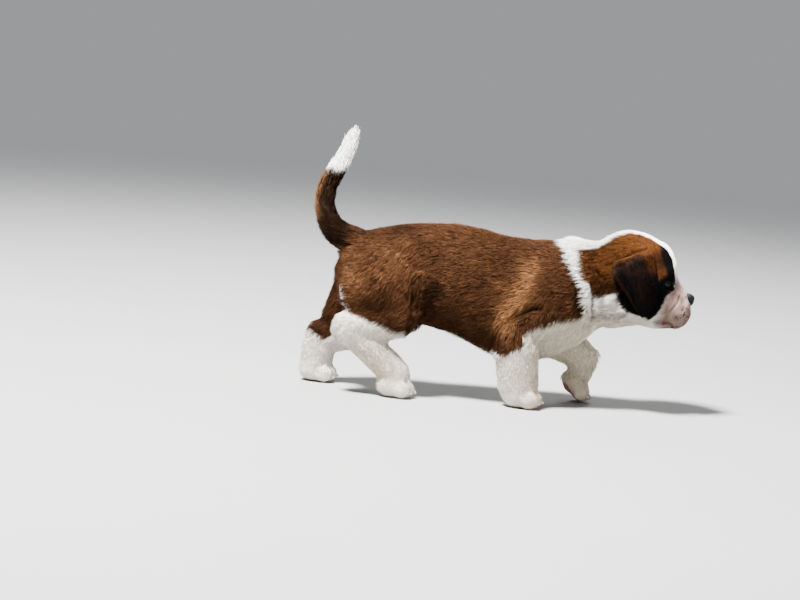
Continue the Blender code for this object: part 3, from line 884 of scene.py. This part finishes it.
def build_skin():
    """The skin's object, the coat's fields at its points, and the details of its shape."""
    skin = base_skin()
    points, edges = mesh_points(skin.data), mesh_edges(skin.data)
    points = relax(points, edges, SMOOTH_ALL)
    points = relax(points, edges, SMOOTH_BODY, share=step(*PAW_TOP, points[:, 2]))
    fields = coat_fields(points, edges)
    normals = vertex_normals(points, mesh_triangles(skin.data))
    points = points - normals * (fields[:, :1] + GROWTH)
    points = relax(points, edges, SMOOTH_AFTER, keep_volume=False)
    set_points(skin.data, points)

    eyes = [eye[0] for eye in eye_frames()]

    def finest(p):
        round_eyes = np.min([norm(p - centre) for centre in eyes], axis=0) < FINEST_ROUND_EYE
        return round_eyes | (p[:, 0] > FINEST_FROM) & (p[:, 2] < FINEST_BELOW)

    refine(skin, lambda p: p[:, 0] > FINE_FROM)
    refine(skin, finest)
    points, edges = mesh_points(skin.data), mesh_edges(skin.data)
    points = relax(points, edges, SMOOTH_AFTER, share=np.where(points[:, 0] > FINE_SMOOTH_FROM, 1.0, 0.0))
    normals = vertex_normals(points, mesh_triangles(skin.data))
    points = sculpt(points, normals, skin_details(skin))
    set_points(skin.data, points)
    skin.data.update()
    return skin, blend_coat(points, coat_fields(points, edges)), skin_details(skin)


def join_to_skin(skin, added):
    """A new skin with more points and faces, its points, and where those of each addition start."""
    points, faces, starts = [mesh_points(skin.data)], mesh_faces(skin.data), []
    for more_points, more_faces in added:
        starts.append(sum(len(p) for p in points))
        points.append(more_points)
        faces.append(more_faces + starts[-1])
    bpy.data.objects.remove(skin)
    points = np.concatenate(points)
    return new_object("skin", points, faces), points, starts


# Lie of the hair: start, end, reach, and a way where it isn't along the segment
FLOW = (
    ((-205, 0, 160), (105, 0, 168), 62, (-1, 0, -0.28)),
    ((115, 0, 178), (165, 0, 182), 50, (-1, 0, -0.38)),
    ((118, 0, 122), (90, 0, 84), 34, (-0.5, 0, -0.85)),
    ((64, -40, 130), (25, -47, 92), 34, (-0.45, 0, -0.9)),
    ((25, -47, 92), (34, -46, 30), 32, (-0.05, 0, -1)),
    ((20, -46, 14), (66, -46, 8), 22, (1, 0, -0.3)),
    ((64, 40, 130), (82, 43, 99), 34, (-0.2, 0, -0.95)),
    ((82, 43, 99), (128, 42, 66), 28, None),
    ((128, 42, 62), (119, 41, 30), 22, None),
    ((108, 41, 28), (136, 41, 4), 20, None),
    ((-150, -38, 185), (-160, -42, 115), 50, (-0.62, 0, -0.8)),
    ((-140, -44, 106), (-205, -43, 91), 28, (-0.85, 0, -0.55)),
    ((-193, -43, 84), (-140, -44, 36), 25, None),
    ((-146, -44, 14), (-108, -44, 8), 20, (1, 0, -0.3)),
    ((-175, 38, 185), (-200, 40, 120), 50, (-0.6, 0, -0.8)),
    ((-190, 42, 100), (-243, 42, 70), 30, (-0.8, 0, -0.6)),
    ((-246, 42, 66), (-250, 42, 24), 25, (0, 0, -1)),
    ((-255, 42, 14), (-220, 42, 8), 20, (1, 0, -0.3)),
    ((-176, 0, 200), (-227, 0, 215), 26, (-1, 0, 0.15)),
    ((-227, 0, 215), (-250, 0, 245), 20, None),
    ((-250, 0, 245), (-250, 0, 285), 17, None),
    ((-250, 0, 285), (-217, 0, 370), 16, None),
)
EAR_TIP = (197, 0, 138)
NOSE_TIP = (276, 0, 160)


def lie_of_hair(points, normals, on_ear):
    """The way the hair lies at each point, along the skin."""
    total = np.zeros_like(points)
    for start, end, reach, way in FLOW:
        way = np.subtract(end, start) if way is None else way
        weight = np.exp(-3 * (segment_distance(points, start, end) / reach) ** 2) + 1e-9
        total += weight[:, None] * unit(way)
    # On the head it runs back from the nose, with swirls all over, and on an ear to the tip
    from_nose = unit(points - NOSE_TIP) + (0, 0, -0.25)
    total = mix(unit(total), unit(from_nose), step(150, 180, points[:, 0]))
    swirl = np.stack([noise(points, 28, 31 + k) for k in range(3)], axis=1) * 0.33
    to_tip = unit(EAR_TIP - points * (1, 0, 1)) + (0, 0, -0.4)
    return np.where(on_ear[:, None], along_skin(to_tip, normals), along_skin(unit(total) + swirl, normals))


def haired(points, normals):
    """1 where tufts grow and 0 on the nose, inside the lids and on the soles."""
    found = (1 - pads(points, normals)) * step(0.96, 1.06, nose_ratio(points))
    for eye in eye_frames():
        at_eye, _distance, _above, opening = round_eye(points, eye, 2)
        found *= np.where(at_eye, step(1.15, 1.45, opening), 1)
    return found


def scatter(points, triangles, fields, growing):
    """Roots of the tufts over the skin: each one's corners, its shares of them and its triangle."""
    a, b, c = (points[triangles[:, k]] for k in range(3))
    area = norm(np.cross(b - a, c - a)) / 2
    wanted = area / fields[triangles, 3].mean(axis=1) * growing[triangles].mean(axis=1)
    count = np.floor(wanted + rng.random(len(wanted))).astype(int)
    owner = np.repeat(np.arange(len(triangles)), count)
    u, v = rng.random(len(owner)), rng.random(len(owner))
    fold = u + v > 1
    u[fold], v[fold] = 1 - u[fold], 1 - v[fold]
    shares = np.stack([1 - u - v, u, v], axis=1)
    return triangles[owner], shares, owner


def at_roots(values, corners, shares):
    return np.einsum("nk,nk...->n...", shares, values[corners])


# Tufts: how much they vary, and the locks they form
WAY_SPREAD = 0.16
LENGTHS = (0.72, 1.2)
HEIGHTS = (0.55, 1.08)
WIDTHS = (0.8, 1.2)
STRAYS = 0.04  # share of tufts that stand off
STRAY_HEIGHT = 1.35
STEEPEST = 0.6  # most height for a tuft's length
LOCK_SIZE = 9  # tufts to each lock
LOCK_REACH = (5, 9)  # distances over which a lock's pull fades
ROOT_DEPTH = 0.6  # how far the root's ring is under the skin
LOWEST_BEND = 0.6  # above the floor
LOWEST_TIP = 0.4
DARK_TIPS = 0.30  # share of brown tufts with a dark tip


def build_coat(skin, fields, colours, details, ears_from):
    """The tufts, in pieces that each stay small: a list of objects with their material slots."""
    points = mesh_points(skin.data)
    triangles = mesh_triangles(skin.data)
    normals = vertex_normals(points, triangles)
    on_ear = np.arange(len(points)) >= ears_from
    corners, shares, owner = scatter(points, triangles, fields, haired(points, normals))
    root = at_roots(points, corners, shares)
    n = unit(at_roots(normals, corners, shares))
    way = at_roots(lie_of_hair(points, normals, on_ear), corners, shares)
    depth, length, width, _area = at_roots(fields, corners, shares).T
    count = len(root)

    way = along_skin(unit(way + rng.normal(0, WAY_SPREAD, (count, 3))), n)
    across = np.cross(way, n)
    length = length * rng.uniform(*LENGTHS, count) * (1 - 0.6 * step(335, 362, root[:, 2]))
    length = length * (1 - 0.55 * on_thigh_line(root[:, 0], -root[:, 1], root[:, 2], 5.0))
    height = depth * rng.uniform(*HEIGHTS, count)
    stray = rng.random(count) < STRAYS
    height = np.minimum(height * np.where(stray, STRAY_HEIGHT, 1), length * STEEPEST)
    width = width * rng.uniform(*WIDTHS, count)

    # Locks: neighbouring tufts lean their tips together
    centres = rng.choice(count, count // LOCK_SIZE, replace=False)
    tree = KDTree(len(centres))
    for i, c in enumerate(centres):
        tree.insert(root[c], i)
    tree.balance()
    lock = np.array([tree.find(p)[1] for p in root])
    nearest = centres[lock]
    along, rise = way * length[:, None], n * height[:, None]
    pull = 0.5 * rng.uniform(0.3, 1.0, count)
    pull *= 1 - step(*LOCK_REACH, norm(root[nearest] - root))
    joined = root[nearest] + way[nearest] * length[:, None] + n[nearest] * height[:, None]
    tip = mix(root + along + rise, joined, pull)
    bend = root + way * (0.45 * length)[:, None] + n * (0.72 * height)[:, None]
    bend = bend + (tip - root - along - rise) * 0.3
    bend += across * (rng.normal(0, 0.06, count) * length)[:, None]
    tip[:, 2] = np.maximum(tip[:, 2], LOWEST_TIP)
    bend[:, 2] = np.maximum(bend[:, 2], LOWEST_BEND)

    # Colours: dark at the root as painted shade within the coat, lighter along, and each tuft its own shade
    ear_root = on_ear[corners[:, 0]]
    base = markings(root, details)
    base[ear_root] = at_roots(colours, corners[ear_root], shares[ear_root])
    lock_shade = rng.normal(0, 1, len(centres))[lock]
    shade = rng.normal(1.0, 0.12, count) + np.where(base[:, 0] > 0.4, 0.05, 0.20) * lock_shade
    shade = np.clip(shade, 0.45, 1.7)
    pale = base.mean(axis=1) > 0.3
    dark_tip = (rng.random(count) < DARK_TIPS) & ~pale & (base[:, 0] > 0.03)
    deep = step(4, 10, length)
    shaded_root_colour = base * mix(0.84, np.where(pale, 0.78, 0.62), deep)[:, None]
    bend_colour = base * shade[:, None]
    tip_colour = base * (shade * np.where(pale, 1.03, 1.03 + 0.22 * deep))[:, None]
    tip_colour[dark_tip] *= 0.35
    shades = np.stack([shaded_root_colour] * 3 + [bend_colour] * 3 + [tip_colour], axis=1)
    shades = np.clip(shades, 0.002, 0.92)

    # Rings of three points at the root and at the bend
    turn = rng.uniform(0, 2 * math.pi, count)
    rings = []
    for middle, radius in ((root - n * ROOT_DEPTH, width * 0.42), (bend, width * 0.5)):
        for k in range(3):
            angle = turn + k * 2 * math.pi / 3
            sideways = across * (radius * np.cos(angle))[:, None]
            rings.append(middle + sideways + n * (radius * 0.7 * np.sin(angle))[:, None])
    verts = np.stack(rings + [tip], axis=1)

    uv = root_uv(skin.data, shares, owner)
    pieces = []
    for name, slot, short, chosen in split_coat(root, ear_root):
        keep = [0, 1, 2, 6] if short else slice(None)
        piece = make_piece(name, short, verts[chosen][:, keep], shades[chosen][:, keep], uv[chosen])
        pieces.append((piece, slot))
    return pieces


def root_uv(mesh, shares, owner):
    """The skin's own unwrap at each root."""
    loops = read(mesh.loop_triangles, "loops", 3)[owner]
    return at_roots(read(mesh.uv_layers["OFBake"].data, "uv", 2, np.float32), loops, shares)


# A tuft's faces, by its points from the root up, and each corner's place in its patch of the UV map
TUFT_PATCH = 0.003


def side_places(*corners):
    """The places of a face's corners on each of the three sides, from how far across and how far up."""
    return np.array([[((k + across + 0.2) / 3.4, up) for across, up in corners] for k in range(3)])


LOWER_FACES = np.array([(0, 1, 4, 3), (1, 2, 5, 4), (2, 0, 3, 5)])
TIP_FACES = np.array([(3, 4, 6), (4, 5, 6), (5, 3, 6)])
SHORT_FACES = np.array([(0, 1, 3), (1, 2, 3), (2, 0, 3)])
CAP = (np.array([(2, 1, 0)]), np.array([[(0.06, 0.0), (0.5, 0.08), (0.94, 0.0)]]))
LONG_TUFT = (
    (LOWER_FACES, side_places((0, 0.1), (1, 0.1), (1, 0.5), (0, 0.5))),
    (TIP_FACES, side_places((0, 0.5), (1, 0.5), (0.5, 0.95))),
    CAP,
)
SHORT_TUFT = ((SHORT_FACES, side_places((0, 0.1), (1, 0.1), (0.5, 0.95))), CAP)
LONG_PER_PIECE = 19000  # tufts of 10 triangles
SHORT_PER_PIECE = 48000  # tufts of 4 triangles


def make_piece(name, short, verts, colours, uv):
    """One object of many tufts, each with its own patch of the UV map."""
    count, size = verts.shape[:2]
    base = (np.arange(count) * size)[:, None, None]
    shape = SHORT_TUFT if short else LONG_TUFT
    faces = [(face[None] + base).reshape(-1, face.shape[1]) for face, _uv in shape]
    if short:
        faces = [np.concatenate(faces)]
    made = new_object(name, verts.reshape(-1, 3), faces)
    corners = [(uv[:, None, None] + TUFT_PATCH * (place[None] - 0.5)).ravel() for _face, place in shape]
    layer = made.data.uv_layers.new(name="OFBake")
    layer.data.foreach_set("uv", np.concatenate(corners).astype(np.float32))
    set_colours(made.data, colours.reshape(-1, 3))
    return made


def split_coat(root, on_ear):
    """The coat's pieces: name, material slot, whether its tufts are short, and which they are."""
    x, y, z = root.T
    tail = (x < -206) & (z > 190)
    muzzle = (x > 238) & ~on_ear
    head = (x > 180) & ~on_ear & ~muzzle
    paws = (z < 18) & (x < 180)
    low = (z < 96) & ~paws
    sets = [
        ("coat_ears", "coat_dark", True, on_ear),
        ("coat_muzzle", "coat_muzzle", True, muzzle),
        ("coat_head", "coat_brown", True, head),
        ("coat_paws", "coat_white", True, paws),
        ("coat_neck", "coat_white", False, (x > 104) & (x <= 180) & ~low & ~paws & ~on_ear),
        ("coat_tail", "coat_dark", False, tail),
        ("coat_forelegs", "coat_white", False, low & (x > -45) & ~head & ~muzzle & ~on_ear),
        ("coat_hindlegs", "coat_white", False, low & (x <= -45)),
    ]
    rest = ~np.any([chosen for *_names, chosen in sets], axis=0)
    sets.append(("coat_trunk_right", "coat_brown", False, rest & (y < 0)))
    sets.append(("coat_trunk_left", "coat_brown", False, rest & (y >= 0)))
    pieces = []
    for name, slot, short, chosen in sets:
        numbers = np.flatnonzero(chosen)
        numbers = numbers[np.argsort(root[numbers, 0], kind="stable")]
        parts = max(1, math.ceil(len(numbers) / (SHORT_PER_PIECE if short else LONG_PER_PIECE)))
        for k, some in enumerate(np.array_split(numbers, parts), 1):
            pieces.append((f"{name}_{k}" if parts > 1 else name, slot, short, some))
    return pieces


# Materials
SKY = (0.93, 0.96, 1.0, 1)
SKY_STRENGTH = 0.38


def new_material(name, roughness, specular):
    """A material, its shader, and the functions that add a node and a link."""
    made = bpy.data.materials.new(name)
    made.use_nodes = True
    tree = made.node_tree
    shader = tree.nodes["Principled BSDF"]
    shader.inputs["Roughness"].default_value = roughness
    shader.inputs["Specular IOR Level"].default_value = specular

    def add(kind, **inputs):
        node = tree.nodes.new("ShaderNode" + kind)
        for key, value in inputs.items():
            node.inputs[key.replace("_", " ")].default_value = value
        return node

    return made, shader, add, tree.links.new


def marks_on(add):
    """The output of a node that reads the colours kept in the mesh."""
    marks = add("VertexColor")
    marks.layer_name = "marks"
    return marks.outputs["Color"]


def grain_on(add, link, scale, detail):
    """The output of noise over the object's own coordinates."""
    grain = add("TexNoise", Scale=scale, Detail=detail)
    link(add("TexCoord").outputs["Object"], grain.inputs["Vector"])
    return grain.outputs["Fac"]


def bump_on(add, link, shader, height, strength, distance):
    bump = add("Bump", Strength=strength, Distance=distance)
    link(height, bump.inputs["Height"])
    link(bump.outputs["Normal"], shader.inputs["Normal"])


def ramp_on(add, link, shader, value, low, high):
    """The shader's colour from low to high as the value rises."""
    ramp = add("ValToRGB")
    for element, colour in zip(ramp.color_ramp.elements, (low, high)):
        element.color = (*colour, 1)
    link(value, ramp.inputs["Fac"])
    link(ramp.outputs["Color"], shader.inputs["Base Color"])


def coat_material():
    made, shader, add, link = new_material("coat", 0.75, 0.012)
    shade = add("MapRange", To_Min=0.8, To_Max=1.2)
    times = add("VectorMath")
    times.operation = "SCALE"
    link(grain_on(add, link, 420.0, 3.0), shade.inputs["Value"])
    link(marks_on(add), times.inputs[0])
    link(shade.outputs["Result"], times.inputs["Scale"])
    link(times.outputs["Vector"], shader.inputs["Base Color"])
    return made


def skin_material():
    made, shader, add, link = new_material("skin", 0.75, 0.03)
    bump_on(add, link, shader, grain_on(add, link, 900.0, 4.0), 0.35, 0.0005)
    link(marks_on(add), shader.inputs["Base Color"])
    return made


def plain_material(name, colour, roughness, specular, vary, grain_scale=200.0, bump_depth=0.0):
    """A colour that varies by a share, with bumps where they have a depth."""
    made, shader, add, link = new_material(name, roughness, specular)
    grain = grain_on(add, link, grain_scale, 3.0)
    low, high = ([c * (1 + way * vary) for c in colour] for way in (-1, 1))
    ramp_on(add, link, shader, grain, low, high)
    if bump_depth:
        bump_on(add, link, shader, grain, 0.6, bump_depth)
    return made


def floor_material():
    """Pale matt floor that passes into the light of the studio far from the model."""
    made, shader, add, link = new_material("floor", 0.9, 0.1)
    ramp_on(add, link, shader, grain_on(add, link, 3.0, 2.0), (0.31, 0.31, 0.305), (0.33, 0.33, 0.325))
    length = add("VectorMath")
    length.operation = "LENGTH"
    far = add("MapRange", From_Min=1.2, From_Max=6.0)
    far.interpolation_type = "SMOOTHSTEP"
    glow = add("Emission", Color=SKY, Strength=SKY_STRENGTH)
    blend = add("MixShader")
    link(add("TexCoord").outputs["Object"], length.inputs[0])
    link(length.outputs["Value"], far.inputs["Value"])
    link(far.outputs["Result"], blend.inputs["Fac"])
    link(shader.outputs["BSDF"], blend.inputs[1])
    link(glow.outputs["Emission"], blend.inputs[2])
    link(blend.outputs["Shader"], made.node_tree.nodes["Material Output"].inputs["Surface"])
    return made


def dress(made, slot, material, *replaced):
    made.data.materials.clear()
    made.data.materials.append(material)
    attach(made, "root")
    if replaced:
        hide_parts(*replaced)


# Eyes, nose and claws


def sphere(name, subdivisions, shape):
    """An object from a unit sphere's points moved by shape, which gives mm."""
    bm = bmesh.new()
    bmesh.ops.create_icosphere(bm, subdivisions=subdivisions, radius=1)
    bm.verts.index_update()
    points = np.array([v.co for v in bm.verts])
    faces = np.array([[v.index for v in f.verts] for f in bm.faces])
    bm.free()
    return new_object(name, shape(points), faces)


EYE_FIT = 0.945  # of the CAD eye's radius
CORNEA = 0.03  # how proud it stands, as a share of the radius


def build_eye(name, centre, radius, gaze, ahead, up):
    """A wet ball, with its cornea a little proud, its iris and its pupil."""

    def shape(p):
        bulge = radius * (1 + CORNEA * step(0.80, 0.97, p[:, 2]))
        world = p[:, :1] * ahead + p[:, 1:2] * up + p[:, 2:3] * gaze
        return centre + world * (bulge * EYE_FIT)[:, None]

    eye = sphere(name + "_ball", 5, shape)
    facing = unit(mesh_points(eye.data) - centre) @ gaze
    colour = layered(
        EYE_WHITE,
        (IRIS, step(0.66, 0.70, facing)),
        (IRIS * 0.35, step(0.78, 0.70, facing) * step(0.68, 0.70, facing)),
        (PUPIL, step(0.905, 0.925, facing)),
    )
    set_colours(eye.data, colour)
    made, shader, add, link = new_material(name, 0.06, 0.16)
    link(marks_on(add), shader.inputs["Base Color"])
    dress(eye, "eye", made, name)


# Places on the nose from its centre, with y to the side
NOSE_SLIT = ((8.8, 5.4, -0.8), (8.2, 8.0, -2.6), (5.5, 10.4, -3.4), (2, 11.2, -2.6))
NOSE_WING = (7, 8.6, 2.2)
NOSE_TOP = (8.0, 2.6, 4.6)
NOSE_HOLE = (NOSE_HALF[0] * 0.86, 4.9, -0.6)


def nose_shape(p):
    """The nose's points from a unit sphere's: a wedge with nostrils, wings and a cleft."""
    q = np.sign(p) * np.abs(p) ** (0.80, 0.80, 0.76) * NOSE_HALF * (0.95, 0.86, 0.92) - (0, 0, 0.5)
    q[:, 1] *= 1 + 0.16 * np.clip(q[:, 2] / NOSE_HALF[2], -1, 1)
    q[:, 0] -= 0.22 * np.maximum(-q[:, 2], 0) + 0.10 * np.maximum(q[:, 2] - 2, 0)
    hole, wing, top = near(q, NOSE_HOLE, 2.3), near(q, NOSE_WING, 3.4), near(q, NOSE_TOP, 3.0)
    slit = bell(line_distance(mirrored(q), NOSE_SLIT), 1.1)
    cleft = bell(np.abs(q[:, 1]), 0.7) * step(3.0, -1, q[:, 2])
    rise = 0.9 * wing + 0.4 * top - 4.2 * hole - 2.0 * slit - 1.0 * cleft
    return NOSE_CENTRE + q + unit(p / NOSE_HALF) * rise[:, None]


def build_nose():
    material = plain_material("nose_leather", NOSE_BLACK, 0.46, 0.13, 0.4, 1500.0, 0.0004)
    dress(sphere("nose_leather", 6, nose_shape), "nose_leather", material, "nose")


def build_claws():
    horn = plain_material("claw_horn", HORN, 0.35, 0.5, 0.25)
    for limb in LIMBS:
        bm = bmesh.new()
        for name in claw_names(limb):
            bm.from_mesh(nodes[name].data)
        bmesh.ops.remove_doubles(bm, verts=bm.verts, dist=MERGE)
        mesh = bpy.data.meshes.new(f"{limb}_claws")
        bm.to_mesh(mesh)
        bm.free()
        claws = add_object(f"{limb}_claws", mesh)
        smooth = claws.modifiers.new("smooth", "SUBSURF")
        smooth.levels = smooth.render_levels = 2
        apply_modifiers(claws)
        claws.data.shade_smooth()
        dress(claws, "claw_horn", horn, *claw_names(limb))


# Putting it together
skin, fields, details = build_skin()
added = (ear_surface(-1), ear_surface(1), lid_rims())
skin, points, (ears_from, _left_from, rims_from) = join_to_skin(skin, added)
fields = np.vstack([fields, np.tile(COAT["ear"], (len(points) - ears_from, 1))])
fields[rims_from:, 3] = HAIRLESS_AREA
colours = markings(points, details)
colours[ears_from:rims_from] = np.tile(ear_colours(), (4, 1))  # the two faces of each ear
colours[rims_from:] = BLACK

# The skin shows between the tufts and is darkened below their colour, most where they are dark: painted
# shade of the coat over it
bare = pads(points, vertex_normals(points, mesh_triangles(skin.data)))
mean = colours.mean(axis=1)
under = mix(mix(0.42, 0.8, step(0.1, 0.4, mean)), 0.95, step(0.45, 0.7, mean))[:, None]
set_colours(skin.data, np.clip(mix(colours * under, PINK * 0.75, bare), 0.002, 1))

UNWRAP_ANGLE = math.radians(66)
UNWRAP_MARGIN = 0.001
bpy.context.view_layer.objects.active = skin
skin.select_set(True)
skin.data.uv_layers.new(name="OFBake")
bpy.ops.object.mode_set(mode="EDIT")
bpy.ops.mesh.select_all(action="SELECT")
bpy.ops.uv.smart_project(angle_limit=UNWRAP_ANGLE, island_margin=UNWRAP_MARGIN)
bpy.ops.object.mode_set(mode="OBJECT")

coat = coat_material()
pieces = build_coat(skin, fields, colours, details, ears_from)
dress(skin, "coat_brown", skin_material(), *FLESH, *EARS)
for piece, slot in pieces:
    dress(piece, slot, coat)
for name, eye in zip(EYES, eye_frames()):
    build_eye(name, *eye)
build_nose()
build_claws()

# Camera, in metres: the right side from a little above, rolled as in the photo
AIM = Vector((-0.1378, 0.0, 0.130))
DISTANCE = 3.11
ELEVATION = math.radians(7)
ROLL = math.radians(4.65)
FOCAL_LENGTH = 100
SENSOR_WIDTH = 36

ahead = Vector((0, math.cos(ELEVATION), -math.sin(ELEVATION)))
upright = Vector((0, math.sin(ELEVATION), math.cos(ELEVATION)))
right = Vector((1, 0, 0)) * math.cos(ROLL) + upright * math.sin(ROLL)
up = -Vector((1, 0, 0)) * math.sin(ROLL) + upright * math.cos(ROLL)
lens = bpy.data.cameras.new("camera")
lens.lens = FOCAL_LENGTH
lens.sensor_width = SENSOR_WIDTH
camera = add_object("camera", lens)
turned = Matrix((right, up, -ahead)).transposed().to_4x4()
camera.matrix_world = Matrix.Translation(AIM - ahead * DISTANCE) @ turned
bpy.context.scene.camera = camera

# Light and floor
world = bpy.data.worlds.new("studio")
world.use_nodes = True
world.node_tree.nodes["Background"].inputs["Color"].default_value = SKY
world.node_tree.nodes["Background"].inputs["Strength"].default_value = SKY_STRENGTH
bpy.context.scene.world = world

LIT = Vector((0, 0, 0.15))  # where all lights point

# Lights: name, place in metres, size in metres, power in watts
LIGHTS = (
    ("key", (-0.9, -0.85, 2.8), 0.5, 900),
    ("fill", (1.8, -1.8, 1.0), 1.6, 8),
    ("back", (0.3, 2.2, 2.2), 1.2, 60),
)
for name, place, size, power in LIGHTS:
    light = bpy.data.lights.new(name, "AREA")
    light.size = size
    light.energy = power
    lamp = add_object(name, light)
    lamp.location = place
    lamp.rotation_euler = (LIT - Vector(place)).to_track_quat("-Z", "Y").to_euler()

FLOOR_HALF = 60  # metres
bm = bmesh.new()
bmesh.ops.create_grid(bm, x_segments=2, y_segments=2, size=FLOOR_HALF)
floor_mesh = bpy.data.meshes.new("floor")
bm.to_mesh(floor_mesh)
bm.free()
floor = add_object("floor", floor_mesh)
floor_mesh.materials.append(floor_material())
